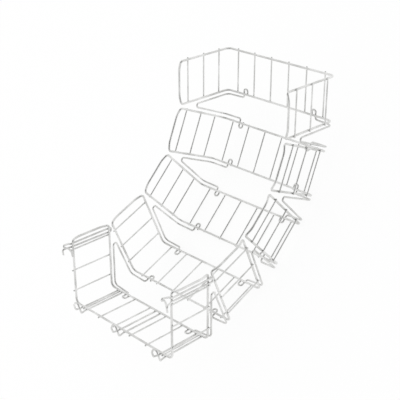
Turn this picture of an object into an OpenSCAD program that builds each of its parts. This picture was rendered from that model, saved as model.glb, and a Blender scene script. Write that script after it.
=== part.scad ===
// Wire mesh cable basket, rising 90 degree bend made of five welded channel sections.
// Millimetres. The middle section lies on the floor, the two ends rise from it.
// X runs across the channel, Y along it, Z up. The plug-in end is toward -Y.

/* [Channel] */
// Clear width between the side walls
inside_w = 300; // [150:10:450]
// Height of the rim wires above the floor wires, centre to centre
rim_h = 153.6; // [120:0.2:220]
// Distance between the two frame wires of a section
bay_l = 100; // [80:1:140]
// Space between neighbouring sections at rim height, centre to centre
rim_gap = 8.8; // [8:0.2:20]
// Angle that the whole bend turns through
bend_angle = 90; // [60:2:110]

/* [Wire] */
// Wire of the frames and rims
frame_d = 4.8; // [3.8:0.1:6]
// Wire of the bars that run along the channel
bar_d = 3.4; // [2.6:0.1:4.4]
// How far bars and frames sink into each other at a weld
weld_sink = 0.12; // [0.05:0.01:0.3]
// Bend radius of a frame at the floor corners, to the wire centre
corner_r = 11; // [8:0.5:20]
// Bend radius of a frame where it turns into the rim, to the wire centre
rim_r = 6; // [5:0.5:9]
// How far the rim bows outward
rim_bow = 5.6; // [3:0.1:9]
// Length over which the rim leaves its frame
rim_start = 18; // [14:0.5:26]
// Radius of the curve that ends the slanted part of the rim
bow_r = 50; // [40:1:70]

/* [Bars] */
// Number of bars across the floor
floor_bars = 6; // [4:1:8]
// Distance from a side wall to the outermost floor bar
edge_gap = 27.4; // [22:0.2:40]
// Distance of the top side bar below the rim
top_bar_drop = 25.2; // [23:0.2:34]
// Spacing of the side bars
side_pitch = 50; // [35:1:60]
// How far bars pass a frame at the two outer ends of the bend
tail_out = 3; // [2:0.5:12]
// How far bars pass a frame where sections meet
tail_in = 2.4; // [2:0.2:4]

/* [Link wires] */
// Wire of the links that join neighbouring sections
link_d = 4; // [3:0.1:4.8]
// Distance from a frame wire to the leg of a link, centre to centre
leg_off = 10.2; // [8:0.1:14]
// Distance of the top of a link below the rim
link_drop = 50.6; // [44:0.2:80]
// Distance from the side wall to the middle of the link's hook
hook_x = 52.4; // [45:0.2:70]
// Half the width of the hook, to the wire centres
hook_r = 5.2; // [4.2:0.1:8]
// How far the hook reaches past the frame wire
hook_reach = 11.2; // [10:0.2:20]
// Bend radius where the leg turns into the hook
turn_r = 5; // [4:0.1:7]
// Length of the hook's end past the frame wire
hook_end = 3.5; // [2.6:0.1:6]
// Clearance between a link or plug wire and the wire that it is tacked to
tack_gap = 0.1; // [0.05:0.01:0.3]

/* [Plug wires] */
// Wire of the plug-in hairpins
plug_d = 4; // [3:0.1:4.8]
// Half the width of a floor plug, to the wire centres
plug_r = 7.3; // [6.5:0.1:9]
// How far a floor plug reaches in front of the frame before it turns up
plug_reach = 16.5; // [12:0.5:30]
// How far each leg of a floor plug spreads on its way to the foot
plug_spread = 2.6; // [0:0.1:4]
// Bend radius at the foot of a plug's upright part
plug_bend = 4; // [3:0.5:8]
// Height of a plug's shoulder above its foot
plug_shoulder = 12.5; // [9:0.5:16]
// How far the shoulder stands in front of the foot
plug_lean = 4.2; // [0:0.1:7]
// Height of the round top above the foot
plug_rise = 23; // [19:0.5:30]
// Radius of the round top
plug_top_r = 6; // [5:0.1:7]
// How far a floor plug's legs pass the rear frame of the end section
plug_tail = 3.4; // [2.5:0.1:8]

/* [Side plugs] */
// Half the width of a side plug, to the wire centres
side_plug_r = 4.7; // [3.6:0.1:5.2]
// Clearance between the top side bar and a side plug
side_plug_gap = 2.1; // [1.5:0.1:3]
// How far the round end of a side plug passes the rear frame
side_plug_tail = 9; // [7:0.5:11]
// How far the beak reaches in front of the frame
beak_reach = 24.6; // [22:0.2:30]
// How far the beak's tip lies inside the line of the side wires
beak_in = 0.2; // [0:0.1:1]
// Distance of the beak's tip below the rim
beak_top = 3.6; // [2:0.2:5]
// Depth of the beak's blunt tip
beak_tip = 5; // [4.8:0.1:6]
// Distance of the beak's end below the rim
beak_low = 35.2; // [31:0.2:42]
// How far the beak's end lies inside the line of the side wires
hook_in = 6; // [2:0.2:8]
// Clearance between the frame and the beak's end
beak_gap = 2.4; // [1.5:0.1:4]
// Bend radius at the beak's tip, to the wire centre
tip_r = 2.35; // [2.3:0.01:2.4]
// Bend radius of the beak's returned part
back_r = 12; // [8:0.5:15]
// How far the lower finger reaches in front of the frame
finger_reach = 21.5; // [18:0.5:28]
// How far the lower finger flares outward
finger_out = 5.1; // [0:0.1:7]
// How far the lower finger turns down
finger_drop = 13; // [10:0.5:18]
// Bend radius of the lower finger
finger_r = 5; // [3:0.5:7]

/* [Hidden] */
$fn = 24;
// An elbow is a hair thicker than its rods, and each rod runs a short way into it.
swell = 0.015;
bite = 0.1;
// Straight piece left at the top of each round hairpin end
flat = 0.6;

span = inside_w + frame_d;                 // between the side wires, centre to centre
half_l = bay_l / 2;
step = bend_angle / 4;                     // turn from one section to the next
turn_c = rim_h + (bay_l + rim_gap) / 2 / tan(step / 2); // common centre of the bend
bar_off = (frame_d + bar_d) / 2 - weld_sink;
link_off = (frame_d + link_d) / 2 + tack_gap;
plug_off = (frame_d + plug_d) / 2 + tack_gap;
side_bars = floor((rim_h - top_bar_drop - corner_r - bar_d) / side_pitch) + 1;
top_bar_h = rim_h - top_bar_drop;
floor_pitch = (span - 2 * edge_gap) / (floor_bars - 1);
under = max(link_off + link_d / 2, bar_off + bar_d / 2); // lowest wire below the floor wires
edge_bar = span / 2 - edge_gap;
// Reach of the two ends from the middle, which centres the part over the origin
end_a = 2 * step;
reach_front = turn_c * sin(end_a) + plug_d / 2 + swell
    + bend_reach(floor_side(0, 1), 2, plug_bend, [0, -cos(end_a), -sin(end_a)]);
reach_rear = (half_l + tail_out) * cos(end_a) + (turn_c + bar_off + bar_d / 2) * sin(end_a);
shift_y = (reach_front - reach_rear) / 2;
wire_grey = [0.74, 0.75, 0.76];
tack_grey = [0.66, 0.68, 0.70];

// ---- bent wire: straight rods joined by round elbows ----
function unit(v) = v / norm(v);
function at(a, i) = a[(i + len(a)) % len(a)];
// angle between two directions
function turn(u, v) = acos(max(-1, min(1, u * v)));
// Euler angles that carry X to u and Y to v
function euler(u, v) = let (w = cross(u, v))
    u[2] > 0.99999 ? [atan2(-v[0], v[1]), -90, 0] :
    u[2] < -0.99999 ? [atan2(v[0], v[1]), 90, 0] :
    [atan2(v[2], w[2]), -asin(u[2]), atan2(u[1], u[0])];
// straight part used up by the elbow at point i
function used(p, r, i) = let (
    u = unit(at(p, i) - at(p, i - 1)), v = unit(at(p, i + 1) - at(p, i)))
    at(r, i) * tan(turn(u, v) / 2);

// how far an elbow's centre line at point i reaches in direction w
function bend_reach(p, i, r, w) = let (
    u = unit(p[i] - p[i - 1]), v = unit(p[i + 1] - p[i]), n = unit(v - u * (u * v)),
    c = p[i] - u * (r * tan(turn(u, v) / 2)) + n * r)
    c * w + r * norm([w * u, w * n]);

module rod(a, b, d) {
    v = b - a;
    translate(a) rotate([0, acos(v[2] / norm(v)), atan2(v[1], v[0])])
        cylinder(h = norm(v), d = d);
}

module elbow(p, u, v, r, d) {
    t = turn(u, v);
    n = unit(v - u * (u * v));             // towards the inside of the bend
    c = p - u * (r * tan(t / 2)) + n * r;  // middle of the bend
    translate(c) rotate(euler(-n, u))
        rotate_extrude(angle = t) translate([r, 0]) circle(d = d + 2 * swell);
}

module bent_wire(p, r, d, closed = false) {
    n = len(p);
    for (i = [0 : n - (closed ? 1 : 2)]) {
        a = p[i];
        b = at(p, i + 1);
        u = unit(b - a);
        ua = (closed || i > 0) ? used(p, r, i) : 0;
        ub = (closed || i < n - 2) ? used(p, r, i + 1) : 0;
        la = (closed || i > 0) ? ua - bite : 0;
        lb = (closed || i < n - 2) ? ub - bite : 0;
        rod(a + u * la, b - u * lb, d);
    }
    for (i = [(closed ? 0 : 1) : n - (closed ? 1 : 2)])
        elbow(p[i], unit(p[i] - at(p, i - 1)), unit(at(p, i + 1) - p[i]), r[i], d);
}

// ---- places along the bend: k counts sections from the middle one ----
function lift(k, p) = let (a = k * step, z = p[2] - turn_c)
    [p[0], shift_y + p[1] * cos(a) - z * sin(a), p[1] * sin(a) + z * cos(a) + turn_c + under];

module place(k)
    translate([0, shift_y, turn_c + under]) rotate([k * step, 0, 0])
        translate([0, 0, -turn_c]) children();

// ---- welded section ----
function frame_side(s) = let (x = s * span / 2, o = s * (span / 2 + rim_bow), t = rim_start) [
    [x, s * half_l, 0], [x, s * half_l, rim_h], [o, s * (half_l - t), rim_h],
    [o, -s * (half_l - t), rim_h], [x, -s * half_l, rim_h], [x, -s * half_l, 0]];

module section(front, rear) {
    bent_wire(concat(frame_side(1), frame_side(-1)),
        concat(frame_radii, frame_radii), frame_d, true);
    for (i = [0 : floor_bars - 1])
        rod([i * floor_pitch - edge_bar, -half_l - front, -bar_off],
            [i * floor_pitch - edge_bar, half_l + rear, -bar_off], bar_d);
    for (s = [-1, 1], i = [0 : side_bars - 1])
        rod([s * (span / 2 + bar_off), -half_l - front, top_bar_h - i * side_pitch],
            [s * (span / 2 + bar_off), half_l + rear, top_bar_h - i * side_pitch], bar_d);
}
frame_radii = [corner_r, rim_r, bow_r, bow_r, rim_r, corner_r];

// ---- link wire between section k and section k + 1, on side s ----
link_h = rim_h - link_drop;
top_half = (link_drop * tan(step / 2) + rim_gap / 2 - leg_off) * cos(step / 2);
top_r = (top_half - flat / 2) / tan((90 - step / 2) / 2);
function half_link(k, s, e) = let (
    x = span / 2 - hook_x, y = e * (half_l + leg_off)) [
    for (q = [
        [s * (x - hook_r), e * (half_l + hook_end), -link_off],
        [s * (x - hook_r), e * (half_l - hook_reach), -link_off],
        [s * (x + hook_r), e * (half_l - hook_reach), -link_off],
        [s * (x + hook_r), y, -link_off],
        [s * span / 2, y, 0],
        [s * span / 2, y, link_h]]) lift(k, q)];
half_radii = [0, hook_r - flat / 2, hook_r - flat / 2, turn_r, corner_r, top_r];
function back(a) = [for (i = [len(a) - 1 : -1 : 0]) a[i]];

module link(k, s)
    bent_wire(concat(half_link(k, s, 1), back(half_link(k + 1, s, -1))),
        concat(half_radii, back(half_radii)), link_d);

// ---- plug-in hairpins on the first section ----
// Half of a floor plug: leg, spread foot, shoulder and round top, on side s
function floor_side(x, s) = let (y = -half_l - plug_reach) [
    [x + s * plug_r, half_l + plug_tail, -plug_off],
    [x + s * plug_r, -half_l - 4, -plug_off],
    [x + s * (plug_r + plug_spread), y, -plug_off],
    [x + s * (plug_r + plug_spread), y - plug_lean, plug_shoulder - plug_off],
    [x + s * 0.75 * plug_top_r, y - plug_lean, plug_rise - plug_off]];

module floor_plug(x)
    bent_wire(concat(floor_side(x, 1), back(floor_side(x, -1))),
        [0, 12, plug_bend, 12, plug_top_r, plug_top_r, 12, plug_bend, 12, 0], plug_d);

// A side plug lies outside the wall. In front of the frame its upper leg steps in line with the
// side wire and turns back inside it as a beak; its lower leg flares out and turns down.
module side_plug(s) {
    x = span / 2 + plug_off;
    lo = top_bar_h + (bar_d + plug_d) / 2 + side_plug_gap;
    hi = lo + 2 * side_plug_r;
    rear = half_l + side_plug_tail;
    clear = (frame_d + plug_d) / 2;
    back_y = clear + beak_gap;             // the beak's end, in front of the frame
    top_z = rim_h - beak_top;
    tip_z = top_z - beak_tip;
    low_z = rim_h - beak_low;
    function front(x, d, z) = [s * x, -half_l - d, z];
    bent_wire([
        front(span / 2 - hook_in, back_y, low_z),
        front(span / 2 - hook_in, back_y + 0.10 * beak_reach, low_z + 0.46 * (tip_z - low_z)),
        front(span / 2 - 0.6 * hook_in, back_y + 0.35 * beak_reach, low_z + 0.85 * (tip_z - low_z)),
        front(span / 2 - beak_in - 0.1 * hook_in, beak_reach - 0.2, tip_z),
        front(span / 2 - beak_in, beak_reach, top_z),
        front(x - plug_off / 2, 2 * clear + 0.6, hi + 0.6 * (top_z - hi)),
        front(x, 2.6, hi),
        [s * x, rear, hi], [s * x, rear, lo],
        front(x, 2.6, lo + 1.8),
        front(x + finger_out, finger_reach, lo + 0.6),
        front(x + finger_out, finger_reach - 2, lo + 0.6 - finger_drop)],
        [0, back_r, back_r, tip_r, tip_r, back_r, finger_r,
            side_plug_r - flat / 2, side_plug_r - flat / 2, finger_r, finger_r, 0], plug_d);
}
// ---- nodes ----
module section_1() color(wire_grey) place(-2) section(tail_out, tail_in);
module section_2() color(wire_grey) place(-1) section(tail_in, tail_in);
module section_3() color(wire_grey) place(0) section(tail_in, tail_in);
module section_4() color(wire_grey) place(1) section(tail_in, tail_in);
module section_5() color(wire_grey) place(2) section(tail_in, tail_out);
module link_1_left() color(tack_grey) link(-2, -1);
module link_1_right() color(tack_grey) link(-2, 1);
module link_2_left() color(tack_grey) link(-1, -1);
module link_2_right() color(tack_grey) link(-1, 1);
module link_3_left() color(tack_grey) link(0, -1);
module link_3_right() color(tack_grey) link(0, 1);
module link_4_left() color(tack_grey) link(1, -1);
module link_4_right() color(tack_grey) link(1, 1);
module floor_plug_left() color(tack_grey) place(-2) floor_plug(-edge_bar);
module floor_plug_middle() color(tack_grey) place(-2) floor_plug(0);
module floor_plug_right() color(tack_grey) place(-2) floor_plug(edge_bar);
module side_plug_left() color(tack_grey) place(-2) side_plug(-1);
module side_plug_right() color(tack_grey) place(-2) side_plug(1);

section_1();
section_2();
section_3();
section_4();
section_5();
link_1_left();
link_1_right();
link_2_left();
link_2_right();
link_3_left();
link_3_right();
link_4_left();
link_4_right();
floor_plug_left();
floor_plug_middle();
floor_plug_right();
side_plug_left();
side_plug_right();
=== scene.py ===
# %% [markdown]
# # A rising bend of wire mesh cable tray
#
# The real object is a bend made from welded wire: five short U-shaped channel sections, each with
# two thick frame wires and a row of thinner bars, joined in a quarter turn by bent link wires. At
# one end hairpin wires stand ready to plug into the next length. The wires are drawn steel with a
# thin coat of zinc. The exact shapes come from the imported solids, so this lesson adds what the
# solids leave out: the weld beads, the sheared wire ends, the zinc finish, and a plain studio.

# %% Load the solids as a fixed frame
import bpy
import math
from mathutils import Euler, Matrix, Vector


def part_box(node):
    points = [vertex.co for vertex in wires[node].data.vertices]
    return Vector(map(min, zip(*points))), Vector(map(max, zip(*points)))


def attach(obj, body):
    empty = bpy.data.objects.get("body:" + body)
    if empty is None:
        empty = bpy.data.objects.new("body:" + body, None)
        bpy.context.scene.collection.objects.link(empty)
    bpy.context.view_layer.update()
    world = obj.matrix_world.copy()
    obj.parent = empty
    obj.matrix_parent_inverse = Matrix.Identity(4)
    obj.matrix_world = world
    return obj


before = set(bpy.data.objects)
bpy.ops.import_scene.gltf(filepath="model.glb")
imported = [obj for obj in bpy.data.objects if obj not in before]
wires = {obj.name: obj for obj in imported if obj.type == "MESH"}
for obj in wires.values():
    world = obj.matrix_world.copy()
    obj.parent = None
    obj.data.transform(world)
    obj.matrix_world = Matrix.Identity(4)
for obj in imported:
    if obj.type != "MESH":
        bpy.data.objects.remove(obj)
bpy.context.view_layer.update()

# %% [markdown]
# ## Where things are on the bend
#
# Every section is the same channel, turned a step further about one common centre. A weld or a
# wire end is easiest to place in the channel's own plain coordinates, across, along and up, and
# then carried to its place on the bend by one matrix per section. The lengths are those of the
# solids, in millimetres. A cell that prints how far the carried corner of a section lies from the
# solid's own box shows at once whether the two agree.

# %% Lengths of the channel and the turn from section to section
MM = 0.001
frame_wire, bar_wire, link_wire = 4.8, 3.4, 4.0
span = 304.8            # between the side wires, centre to centre
half_bay = 50.0         # from the middle of a section to its frame wire
rim_height = 153.6      # rim wires above the floor wires
step = math.radians(22.5)
rim_gap = 8.8           # between the rims of two sections
weld_sink = 0.12        # a welded bar sinks this far into the frame wire
tack_gap = 0.1          # a tacked wire stands this far off the frame wire
bar_off = (frame_wire + bar_wire) / 2 - weld_sink
link_off = (frame_wire + link_wire) / 2 + tack_gap
tack_off = (frame_wire + tack_gap) / 2
turn_centre = rim_height + (2 * half_bay + rim_gap) / 2 / math.tan(step / 2)
low_wire = link_off + link_wire / 2
floor_bars = [-125.0, -75.0, -25.0, 25.0, 75.0, 125.0]
side_bars = [128.4, 78.4, 28.4]
tail_out, tail_in = 3.0, 2.4        # bars past the frame wire, at the bend's ends and inside it
hook_x, hook_half, hook_tail = 52.4, 5.2, 3.5       # a link's hook, in from the side wire
floor_plugs = [-125.0, 0.0, 125.0]
plug_half, plug_tail = 7.3, 3.4     # a floor hairpin's legs either side of its middle

# the bend is slid along to centre it over the origin, and its middle section shows how far
low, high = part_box("section_3")
slide = (low.y + high.y) / 2 / MM


def on_section(k):
    """Matrix from a section's own coordinates in mm to the finished part in metres."""
    return (Matrix.Scale(MM, 4)
            @ Matrix.Translation((0, slide, turn_centre + low_wire))
            @ Matrix.Rotation(k * step, 4, "X")
            @ Matrix.Translation((0, 0, -turn_centre)))


corner = on_section(0) @ Vector((span / 2, half_bay + tail_in, rim_height + frame_wire / 2))
print("middle section, solid minus carried corner, mm:",
      [round((a - b) * 1000, 2) for a, b in zip(high, corner)])

# %% [markdown]
# ## Camera
#
# The bend is seen from its right side and from well above, through a long lens, so that the far
# sections are hardly smaller than the near ones. The camera is rolled a little, which stands the
# plug-in end upright in the picture, as a fitter holds it. A camera can be aimed with a
# constraint, but plain Euler angles are clearer to read and keep the roll.

# %% Camera with a long lens
camera_data = bpy.data.cameras.new("camera")
camera_data.lens = 82.5
camera_data.sensor_width = 36
camera = bpy.data.objects.new("camera", camera_data)
bpy.context.scene.collection.objects.link(camera)
camera.location = (1.2603, -0.3124, 1.6428)
camera.rotation_euler = Euler([math.radians(a) for a in (29.574, 30.033, 35.219)], "XYZ")
bpy.context.scene.camera = camera
print("camera is", round(camera.location.length, 2), "m from the origin")

# %% [markdown]
# ## Small helpers
#
# Colours are picked as hex values on a screen, which are not linear, so one function turns them
# to the linear numbers that a shader needs. One more function adds a node with its settings and
# its links, which keeps each material short and readable.

# %% Colour and node helpers
def colour(hex_text):
    """A screen colour such as C8C9C7 as a linear RGBA value."""
    parts = [int(hex_text[i:i + 2], 16) / 255 for i in (0, 2, 4)]
    return (*[c / 12.92 if c <= 0.04045 else ((c + 0.055) / 1.055) ** 2.4 for c in parts], 1)


def add_node(tree, kind, links=(), values=(), **settings):
    """Adds a node. links: (socket, other node, its output). values: (socket, value)."""
    node = tree.nodes.new(kind)
    for name, value in settings.items():
        setattr(node, name, value)
    for socket, value in values:
        node.inputs[socket].default_value = value
    for socket, other, output in links:
        tree.links.new(other.outputs[output], node.inputs[socket])
    return node


def new_material(name):
    """An empty material with its shader and output, and the node tree to fill."""
    material = bpy.data.materials.new(name)
    material.use_nodes = True
    tree = material.node_tree
    tree.nodes.clear()
    shader = add_node(tree, "ShaderNodeBsdfPrincipled")
    add_node(tree, "ShaderNodeOutputMaterial", [("Surface", shader, "BSDF")])
    return material, tree, shader


print("C8C9C7 in linear light:", [round(c, 3) for c in colour("C8C9C7")[:3]])

# %% [markdown]
# ## Studio floor, sky and lamps
#
# A plain white floor carries the part and keeps its soft shadow. Camera and reflected rays see
# most of the floor as plain white, so that it melts into the white sky behind it, and the rest
# of the material is an ordinary matt paint that takes the shadow.
#
# Bright round wire has hardly a colour of its own: it shows the room. In a room that is white on
# every side it would vanish before a white wall. So reflections see a sky with one dark side, like
# the unlit side of a studio, and every wire gets a grey line along its length where it mirrors
# that side. The camera sees a white sky, and all other rays a plain soft light. The two lamps are
# wide and dim, for a soft shadow, and are hidden from reflections, where they would wipe out
# that grey line.

# %% The rays that see the background
def background_rays(tree):
    """1 for a ray from the camera, one reflected by metal, or one that went through glass."""
    rays = add_node(tree, "ShaderNodeLightPath")
    seen = add_node(tree, "ShaderNodeMath", [(0, rays, "Is Camera Ray"), (1, rays, "Is Glossy Ray")],
                    operation="MAXIMUM")
    return add_node(tree, "ShaderNodeMath", [(0, seen, 0), (1, rays, "Is Transmission Ray")],
                    operation="MAXIMUM")


# %% White floor
bpy.ops.object.select_all(action="DESELECT")
bpy.ops.mesh.primitive_plane_add(size=30, location=(0, 0, -0.0002))
floor = bpy.context.active_object
floor.name = "floor"

paint, tree, shader = new_material("matt_white_floor_paint")
shader.inputs["Base Color"].default_value = colour("F6F6F6")
shader.inputs["Roughness"].default_value = 0.9
seen = background_rays(tree)
white_share = 0.86
share = add_node(tree, "ShaderNodeMath", [(0, seen, 0)], [(1, white_share)], operation="MULTIPLY")
white = add_node(tree, "ShaderNodeEmission", values=[("Color", (1, 1, 1, 1)), ("Strength", 1.0)])
mixed = add_node(tree, "ShaderNodeMixShader",
                 [(0, share, "Value"), (1, shader, "BSDF"), (2, white, "Emission")])
tree.links.new(mixed.outputs[0], tree.nodes["Material Output"].inputs["Surface"])
floor.data.materials.append(paint)
print("floor at", round(floor.location.z * 1000, 2), "mm, plain white share", white_share)

# %% Plain view of the colours
bpy.context.scene.view_settings.view_transform = "Standard"
print("view transform:", bpy.context.scene.view_settings.view_transform)

# %% White sky with a dark side for reflections
world = bpy.data.worlds.new("studio_sky")
bpy.context.scene.world = world
world.use_nodes = True
tree = world.node_tree
tree.nodes.clear()
rays = add_node(tree, "ShaderNodeLightPath")
seen = background_rays(tree)
toward = add_node(tree, "ShaderNodeTexCoord")
parts = add_node(tree, "ShaderNodeSeparateXYZ", [(0, toward, "Generated")])
# the dark side lies to the right of the channel, from the floor to a little past overhead
forward = add_node(tree, "ShaderNodeMath", [(0, parts, "Y")], [(1, 0.1)], operation="ADD")
sideways = add_node(tree, "ShaderNodeMath", [(0, forward, 0)], operation="ABSOLUTE")
beside = add_node(tree, "ShaderNodeMapRange", [("Value", sideways, 0)],
                  [("From Min", 0.3), ("From Max", 0.55), ("To Min", 1.0), ("To Max", 0.0)])
right = add_node(tree, "ShaderNodeMapRange", [("Value", parts, "X")],
                [("From Min", -0.35), ("From Max", 0.0)])
dark_side = add_node(tree, "ShaderNodeMath", [(0, beside, 0), (1, right, 0)], operation="MULTIPLY")
bright, dark = 0.92, 0.12
shade = add_node(tree, "ShaderNodeMapRange", [("Value", dark_side, 0)],
                 [("To Min", bright), ("To Max", dark)])
light = add_node(tree, "ShaderNodeMix", [("Factor", rays, "Is Glossy Ray"), (3, shade, 0)],
                 [(2, 1.0)])
soft = add_node(tree, "ShaderNodeBackground", values=[("Color", colour("F6F6F6")),
                                                      ("Strength", 1.0)])
plain = add_node(tree, "ShaderNodeBackground", [("Strength", light, 0)],
                 [("Color", (1, 1, 1, 1))])
mixed = add_node(tree, "ShaderNodeMixShader",
                 [(0, seen, "Value"), (1, soft, "Background"), (2, plain, "Background")])
add_node(tree, "ShaderNodeOutputWorld", [("Surface", mixed, 0)])
print("sky nodes:", len(tree.nodes))

# %% Two soft lamps
def soft_lamp(name, place, size, watts):
    """A square area lamp that faces the middle of the part."""
    data = bpy.data.lights.new(name, "AREA")
    data.size = size
    data.energy = watts
    lamp = bpy.data.objects.new(name, data)
    bpy.context.scene.collection.objects.link(lamp)
    lamp.location = place
    lamp.visible_glossy = False
    lamp.rotation_euler = (Vector((0, 0, 0.12)) - lamp.location).to_track_quat("-Z", "Y").to_euler()
    return lamp


soft_lamp("lamp_above", (-0.6, -1.2, 2.6), 3.6, 16)
soft_lamp("lamp_behind", (-1.6, 1.9, 1.5), 2.4, 5)

# %% [markdown]
# ## Zinc-plated drawn wire
#
# Drawn wire is pulled through a die, which leaves fine lines along it. A bright zinc plating
# then covers it, a few thousandths of a millimetre thick: a pale grey with a satin gloss, clouded
# where the bath ran off. So there are three patterns: clouds a few centimetres wide in colour and
# roughness, short flecks of a millimetre or so, and the draw lines. Real draw lines are about
# 0.1 mm apart, which is finer than the picture can show, so they are drawn 0.6 mm apart. They
# have to follow each wire. On a section that is done by place:
# beside the two frame planes the wire runs across or up, and everywhere else it runs along. A
# link is alike on both halves, so its coordinates are folded half way and then treated the same.

# %% Draw lines that follow the wires
line_gap, line_length = 0.6, 30.0       # mm
cloud_size, fleck_size = 35.0, 1.4      # mm


def along(tree, coordinates, stretch, seed):
    """Noise drawn out along one direction, given as a scale for each axis."""
    scaled = add_node(tree, "ShaderNodeVectorMath", [(0, coordinates, 0)], [(1, stretch)],
                      operation="MULTIPLY")
    return add_node(tree, "ShaderNodeTexNoise", [("Vector", scaled, 0)],
                    [("W", seed), ("Scale", 1.0), ("Detail", 2.0), ("Roughness", 0.6)],
                    noise_dimensions="4D")


def between(tree, value, output, centre, width):
    """1 where a value lies within a width of a centre, else 0."""
    return add_node(tree, "ShaderNodeMath", [(0, value, output)], [(1, centre), (2, width)],
                    operation="COMPARE")


def turned_back(tree, coordinates, output, angle, centre):
    """Coordinates counted from a centre and turned back about X by an angle."""
    offset = Matrix.Rotation(-angle, 3, "X") @ centre
    return add_node(tree, "ShaderNodeMapping", [("Vector", coordinates, output)],
                    [("Location", -offset), ("Rotation", (-angle, 0, 0))])


def draw_lines(tree, k, link=False):
    """A pattern of lines along the wires of section k, or of the link from section k to the next."""
    place = add_node(tree, "ShaderNodeTexCoord")
    if link:
        # half way to the next section the link is folded on itself, then turned to that section
        middle = turned_back(tree, place, "Object", (k + 0.5) * step,
                             on_section(k + 0.5) @ Vector((0, 0, 0)))
        axes = add_node(tree, "ShaderNodeSeparateXYZ", [(0, middle, 0)])
        folded = add_node(tree, "ShaderNodeMath", [(0, axes, "Y")], operation="ABSOLUTE")
        half = add_node(tree, "ShaderNodeCombineXYZ",
                        [("X", axes, "X"), ("Y", folded, 0), ("Z", axes, "Z")])
        next_centre = turn_centre * MM * Vector((0, math.sin(step / 2), 1 - math.cos(step / 2)))
        turned = turned_back(tree, half, 0, step / 2, next_centre)
    else:
        turned = turned_back(tree, place, "Object", k * step, on_section(k) @ Vector((0, 0, 0)))
    fine, long = 1 / (line_gap * MM), 1 / (line_length * MM)
    lengthwise = along(tree, turned, (fine, long, fine), 1.0)
    across = along(tree, turned, (long, fine, fine), 2.0)
    upward = along(tree, turned, (fine, fine, long), 3.0)
    parts = add_node(tree, "ShaderNodeSeparateXYZ", [(0, turned, 0)])
    depth = add_node(tree, "ShaderNodeMath", [(0, parts, "Y")], operation="ABSOLUTE")
    # a link's legs lie just past the frame plane, and under the floor
    middle_depth, width, height = (54.0, 8.6, 6.6) if link else (half_bay, 2.6, 2.6)
    in_frame = between(tree, depth, 0, middle_depth * MM, width * MM)
    on_floor = between(tree, parts, "Z", 0, height * MM)
    frame_lines = add_node(tree, "ShaderNodeMix", [("Factor", on_floor, 0), (2, upward, 0),
                                                   (3, across, 0)])
    lines = add_node(tree, "ShaderNodeMix", [("Factor", in_frame, 0), (2, lengthwise, 0),
                                             (3, frame_lines, 0)])
    return place, lines


def zinc_wire(name, k, pale, dull, roughness, link=False):
    """Zinc-plated wire whose draw lines follow section k or the link after it."""
    material, tree, shader = new_material(name)
    place, lines = draw_lines(tree, k, link)
    clouds = add_node(tree, "ShaderNodeTexNoise", [("Vector", place, "Object")],
                      [("Scale", 1 / (cloud_size * MM)), ("Detail", 3.0), ("Roughness", 0.55)])
    flecks = add_node(tree, "ShaderNodeTexNoise", [("Vector", place, "Object")],
                      [("Scale", 1 / (fleck_size * MM)), ("Detail", 2.0), ("Roughness", 0.6)])
    tone = add_node(tree, "ShaderNodeMath", [(0, lines, 0)], [(1, 0.25)], operation="MULTIPLY")
    tone = add_node(tree, "ShaderNodeMath", [(0, clouds, 0), (2, tone, 0)], [(1, 0.5)],
                    operation="MULTIPLY_ADD")
    tone = add_node(tree, "ShaderNodeMath", [(0, flecks, 0), (2, tone, 0)], [(1, 0.25)],
                    operation="MULTIPLY_ADD")
    ramp = add_node(tree, "ShaderNodeValToRGB", [("Fac", tone, 0)])
    low_tone, high_tone = 0.38, 0.62
    ramp.color_ramp.elements[0].position = low_tone
    ramp.color_ramp.elements[0].color = colour(dull)
    ramp.color_ramp.elements[1].position = high_tone
    ramp.color_ramp.elements[1].color = colour(pale)
    tree.links.new(ramp.outputs["Color"], shader.inputs["Base Color"])
    gloss = add_node(tree, "ShaderNodeMapRange", [("Value", tone, 0)],
                     [("From Min", low_tone), ("From Max", high_tone),
                      ("To Min", roughness + 0.1), ("To Max", roughness - 0.08)])
    tree.links.new(gloss.outputs[0], shader.inputs["Roughness"])
    shader.inputs["Metallic"].default_value = 1.0
    bump = add_node(tree, "ShaderNodeBump", [("Height", lines, 0)],
                    [("Strength", 0.3), ("Distance", 0.03 * MM)])
    bump = add_node(tree, "ShaderNodeBump", [("Height", flecks, 0), ("Normal", bump, 0)],
                    [("Strength", 0.3), ("Distance", 0.04 * MM)])
    tree.links.new(bump.outputs[0], shader.inputs["Normal"])
    return material


# %% Give every solid its wire finish
drawn = ("F2F2F1", "CDCDCB", 0.34)      # pale and dull colour, roughness
bent = ("EFEFEE", "CACAC8", 0.36)
section_finish = {k: zinc_wire(f"zinc_plated_drawn_wire_{k + 3}", k, *drawn) for k in range(-2, 3)}
link_finish = {k: zinc_wire(f"zinc_plated_link_wire_{k + 3}", k, *bent, link=True)
               for k in range(-2, 2)}
plug_finish = zinc_wire("zinc_plated_hairpin_wire", -2, *bent)
for name, wire in wires.items():
    if name.startswith("section_"):
        finish = section_finish[int(name[-1]) - 3]
    elif name.startswith("link_"):
        finish = link_finish[int(name.split("_")[1]) - 3]
    else:
        finish = plug_finish
    wire.data.materials.clear()
    wire.data.materials.append(finish)
print("finished solids:", sum(1 for w in wires.values() if w.data.materials))

# %% [markdown]
# ## Weld beads
#
# Where two wires cross, a welding machine squeezes them together and sends a current through.
# The metal softens, the wires sink into each other a little, and a small lip is pressed out all
# round the joint. A torus is the natural start: it is stretched a little along the thicker wire,
# and two sides are pulled out into lips. One bead is modelled at its real size, about 4 mm
# across, and copied to each crossing, with one object per section.

# %% One weld bead
def select_points(thing, wanted):
    """In edit mode, selects the points whose place passes a test."""
    bpy.ops.mesh.select_all(action="DESELECT")
    bpy.ops.object.mode_set(mode="OBJECT")
    for vertex in thing.data.vertices:
        vertex.select = wanted(vertex.co)
    bpy.ops.object.mode_set(mode="EDIT")


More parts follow.
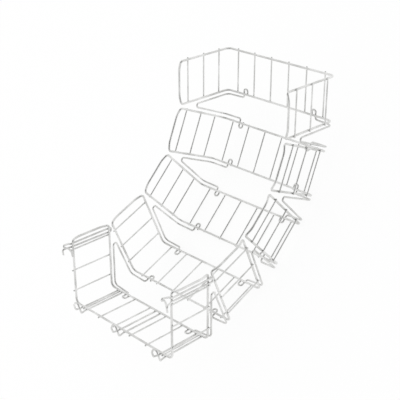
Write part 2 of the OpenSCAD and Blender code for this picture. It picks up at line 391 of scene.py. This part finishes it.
bpy.ops.object.select_all(action="DESELECT")
bpy.ops.mesh.primitive_torus_add(major_radius=1.5 * MM, minor_radius=0.45 * MM,
                                 major_segments=14, minor_segments=6)
bead = bpy.context.active_object
bead.name = "bead"
bpy.ops.object.mode_set(mode="EDIT")
bpy.ops.mesh.select_mode(type="VERT")
bpy.ops.mesh.select_all(action="SELECT")
bpy.ops.transform.resize(value=(1.12, 0.96, 1.0))
select_points(bead, lambda p: p.x > 1.5 * MM and abs(p.y) < 0.9 * MM)
bpy.ops.transform.resize(value=(1.0, 1.0, 1.35))
bpy.ops.transform.translate(value=(0.12 * MM, 0, 0.05 * MM))
select_points(bead, lambda p: p.x < -1.5 * MM and abs(p.y) < 0.9 * MM)
bpy.ops.transform.resize(value=(1.0, 1.25, 0.8))
bpy.ops.transform.translate(value=(-0.06 * MM, 0.05 * MM, -0.04 * MM))
bpy.ops.object.mode_set(mode="OBJECT")
bpy.ops.object.shade_smooth()
print("bead size in mm:", [round(v * 1000, 2) for v in bead.dimensions])

# %% [markdown]
# ## Where the welds are
#
# A section has a weld wherever a bar crosses one of its two frame wires: six under the floor and
# three outside each wall, at both frames. A link wire is tacked twice under the frame wire, once
# on each leg of its hook. The hairpins are tacked to both frame wires of the first section.
# Each place is written in the section's own coordinates with the direction that points from the
# frame wire to the wire laid against it, and turned to the finished part by the section's matrix.

# %% Places of the welds
def section_welds():
    """(place, direction to the laid-on wire) in a section's own coordinates, mm."""
    found = []
    for y in (-half_bay, half_bay):
        for x in floor_bars:
            found.append((Vector((x, y, -frame_wire / 2 + weld_sink / 2)), Vector((0, 0, -1))))
        for z in side_bars:
            for s in (-1, 1):
                found.append((Vector((s * (span / 2 + frame_wire / 2 - weld_sink / 2), y, z)),
                              Vector((s, 0, 0))))
    return found


def hook_welds(end, side):
    """The two tacks of a link's hook at one end of a section."""
    x = side * (span / 2 - hook_x)
    return [(Vector((x + leg, end * half_bay, -tack_off)), Vector((0, 0, -1)))
            for leg in (-hook_half, hook_half)]


def floor_plug_welds(x):
    """The four tacks of a floor hairpin."""
    return [(Vector((x + leg, y, -tack_off)), Vector((0, 0, -1)))
            for y in (-half_bay, half_bay) for leg in (-plug_half, plug_half)]


def side_plug_welds(side):
    """The four tacks of a side hairpin, whose lower leg rises a little towards the front."""
    legs = {half_bay: (134.3, 143.6), -half_bay: (136.0, 143.6)}
    return [(Vector((side * (span / 2 + tack_off), y, z)), Vector((side, 0, 0)))
            for y in legs for z in legs[y]]


print("welds in one section:", len(section_welds()))


# %% Copy the bead to every weld
def scatter(pattern, places, k, size, name, finish):
    """Copies of a small pattern, size times as large, on the wires of section k, as one piece."""
    copies = []
    for number, (place, outward) in enumerate(places):
        copy = pattern.copy()
        copy.data = pattern.data.copy()
        bpy.context.scene.collection.objects.link(copy)
        # a few degrees either way, so that no two in a row look alike
        spin = Matrix.Rotation(math.radians(37 * number % 23 - 11), 4, "Z")
        # the pattern is in metres, the section's coordinates are in millimetres
        copy.matrix_world = (on_section(k) @ Matrix.Translation(place)
                             @ outward.to_track_quat("Z", "Y").to_matrix().to_4x4() @ spin
                             @ Matrix.Scale(size / MM, 4))
        copies.append(copy)
    bpy.ops.object.select_all(action="DESELECT")
    for copy in copies:
        copy.select_set(True)
    bpy.context.view_layer.objects.active = copies[0]
    if len(copies) > 1:
        bpy.ops.object.join()
    piece = bpy.context.active_object
    bpy.ops.object.transform_apply(location=True, rotation=True, scale=True)
    piece.name = name
    piece.data.materials.clear()
    piece.data.materials.append(finish)
    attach(piece, "root")
    return piece


# %% [markdown]
# ## Finish of the welds
#
# The tray is plated after welding, so a weld is zinc too, but on rough metal: the heat leaves a
# scale that the plating covers unevenly. To the eye a weld is a duller, darker and grainier spot
# than the wire beside it. Its grain is about 0.5 mm, with pits about 1 mm apart.

# %% Dull zinc over a weld
weld_finish, tree, shader = new_material("zinc_plated_weld_metal")
place = add_node(tree, "ShaderNodeTexCoord")
grain = add_node(tree, "ShaderNodeTexNoise", [("Vector", place, "Object")],
                 [("Scale", 1 / (0.5 * MM)), ("Detail", 3.0), ("Roughness", 0.7)])
pits = add_node(tree, "ShaderNodeTexVoronoi", [("Vector", place, "Object")],
                [("Scale", 1 / (0.9 * MM))])
tint = add_node(tree, "ShaderNodeValToRGB", [("Fac", grain, 0)])
tint.color_ramp.elements[0].position = 0.35
tint.color_ramp.elements[0].color = colour("A5A6A5")
tint.color_ramp.elements[1].position = 0.7
tint.color_ramp.elements[1].color = colour("D0D1D0")
tree.links.new(tint.outputs["Color"], shader.inputs["Base Color"])
shader.inputs["Metallic"].default_value = 0.9
rough = add_node(tree, "ShaderNodeMapRange", [("Value", grain, 0)],
                 [("To Min", 0.42), ("To Max", 0.62)])
tree.links.new(rough.outputs[0], shader.inputs["Roughness"])
relief = add_node(tree, "ShaderNodeBump", [("Height", pits, 0)],
                  [("Strength", 0.5), ("Distance", 0.12 * MM)])
tree.links.new(relief.outputs[0], shader.inputs["Normal"])
print("weld finish:", weld_finish.name)

# %% Weld beads of the sections, hooks and hairpins
tack_size = 1.15        # times a bar's bead, as the tacked wires are thicker
for k in range(-2, 3):
    scatter(bead, section_welds(), k, 1.0, f"welds_section_{k + 3}", weld_finish)
    hooks = [weld for end in (-1, 1) if abs(k + end) <= 2
             for side in (-1, 1) for weld in hook_welds(end, side)]
    scatter(bead, hooks, k, tack_size, f"tacks_links_{k + 3}", weld_finish)
plugs = [weld for x in floor_plugs for weld in floor_plug_welds(x)]
plugs += [weld for side in (-1, 1) for weld in side_plug_welds(side)]
scatter(bead, plugs, -2, tack_size, "tacks_plugs", weld_finish)
bpy.data.objects.remove(bead)

# %% [markdown]
# ## Sheared ends
#
# Bars and bent wires are cropped by a shear before plating. A sheared end is not a clean disc:
# the first half is cut smooth, the second half tears and leaves a small step, and the rim is
# rolled over a little. It starts as a short cylinder of the wire's own width. Its outer face is
# inset twice and pushed out a little, which rounds the rim, and most of the face is then pressed
# back for the step. It stands less than 0.2 mm proud of the wire.

# %% One sheared end, for a wire 1 mm in radius
bpy.ops.object.select_all(action="DESELECT")
bpy.ops.mesh.primitive_cylinder_add(vertices=16, radius=0.985 * MM, depth=0.1 * MM)
cut_end = bpy.context.active_object
cut_end.name = "cut_end"
bpy.ops.object.mode_set(mode="EDIT")
bpy.ops.mesh.select_mode(type="FACE")
bpy.ops.mesh.select_all(action="DESELECT")
bpy.ops.object.mode_set(mode="OBJECT")
for face in cut_end.data.polygons:
    face.select = face.normal.z > 0.9
bpy.ops.object.mode_set(mode="EDIT")
bpy.ops.mesh.inset(thickness=0.12 * MM, depth=0.03 * MM)
bpy.ops.mesh.inset(thickness=0.10 * MM, depth=0.015 * MM)
bpy.ops.mesh.select_all(action="SELECT")
bpy.ops.mesh.bisect(plane_co=(0.12 * MM, 0, 0), plane_no=(1, 0.15, 0))
bpy.ops.mesh.select_mode(type="VERT")
select_points(cut_end, lambda p: p.z > 0.08 * MM and p.x < 0.1 * MM)
bpy.ops.transform.translate(value=(0, 0, -0.035 * MM))
bpy.ops.object.mode_set(mode="OBJECT")
print("sheared end, faces:", len(cut_end.data.polygons))

# %% Places of the wire ends
def bar_ends(front, rear):
    """Both ends of every bar of a section, with the direction out of the wire."""
    found = []
    for tail, end in ((front, -1), (rear, 1)):
        for x in floor_bars:
            found.append((Vector((x, end * (half_bay + tail), -bar_off)), Vector((0, end, 0))))
        for z in side_bars:
            for s in (-1, 1):
                found.append((Vector((s * (span / 2 + bar_off), end * (half_bay + tail), z)),
                              Vector((0, end, 0))))
    return found


def hook_ends(end, side):
    """The free end of a link's hook, which comes back under the frame wire."""
    x = side * (span / 2 - hook_x - hook_half)
    return [(Vector((x, end * (half_bay + hook_tail), -link_off)), Vector((0, end, 0)))]


def plug_ends():
    """The rear ends of the floor hairpins."""
    return [(Vector((x + leg, half_bay + plug_tail, -link_off)), Vector((0, 1, 0)))
            for x in floor_plugs for leg in (-plug_half, plug_half)]


def side_plug_ends(side):
    """The free ends of a side hairpin: its beak inside the wall and its finger outside it."""
    beak_in, finger_out = 6.0, 5.1
    inside = side * (span / 2 - beak_in)
    beak_from = Vector((inside, -59.26, 130.64))
    beak_to = Vector((inside, -56.8, 118.4))
    out = side * (span / 2 + link_off + finger_out)
    finger_from = Vector((out, -71.5, 134.8))
    finger_to = Vector((out, -69.5, 121.8))
    return [(beak_to, (beak_to - beak_from).normalized()),
            (finger_to, (finger_to - finger_from).normalized())]


# %% Finish of the sheared ends
cut_finish, tree, shader = new_material("zinc_plated_sheared_steel")
place = add_node(tree, "ShaderNodeTexCoord")
tear = add_node(tree, "ShaderNodeTexNoise", [("Vector", place, "Object")],
                [("Scale", 1 / (0.4 * MM)), ("Detail", 4.0), ("Roughness", 0.65)])
tint = add_node(tree, "ShaderNodeValToRGB", [("Fac", tear, 0)])
tint.color_ramp.elements[0].position = 0.3
tint.color_ramp.elements[0].color = colour("B4B5B4")
tint.color_ramp.elements[1].position = 0.7
tint.color_ramp.elements[1].color = colour("DCDDDC")
tree.links.new(tint.outputs["Color"], shader.inputs["Base Color"])
shader.inputs["Metallic"].default_value = 1.0
shader.inputs["Roughness"].default_value = 0.5
relief = add_node(tree, "ShaderNodeBump", [("Height", tear, 0)],
                  [("Strength", 0.4), ("Distance", 0.08 * MM)])
tree.links.new(relief.outputs[0], shader.inputs["Normal"])
print("finish of the ends:", cut_finish.name)

# %% Copy the sheared end to every wire end
for k in range(-2, 3):
    front = tail_out if k == -2 else tail_in
    rear = tail_out if k == 2 else tail_in
    scatter(cut_end, bar_ends(front, rear), k, bar_wire / 2, f"bar_ends_{k + 3}", cut_finish)
    hooks = [spot for end in (-1, 1) if abs(k + end) <= 2
             for side in (-1, 1) for spot in hook_ends(end, side)]
    scatter(cut_end, hooks, k, link_wire / 2, f"link_ends_{k + 3}", cut_finish)
ends = plug_ends() + side_plug_ends(-1) + side_plug_ends(1)
scatter(cut_end, ends, -2, link_wire / 2, "plug_ends", cut_finish)
bpy.data.objects.remove(cut_end)
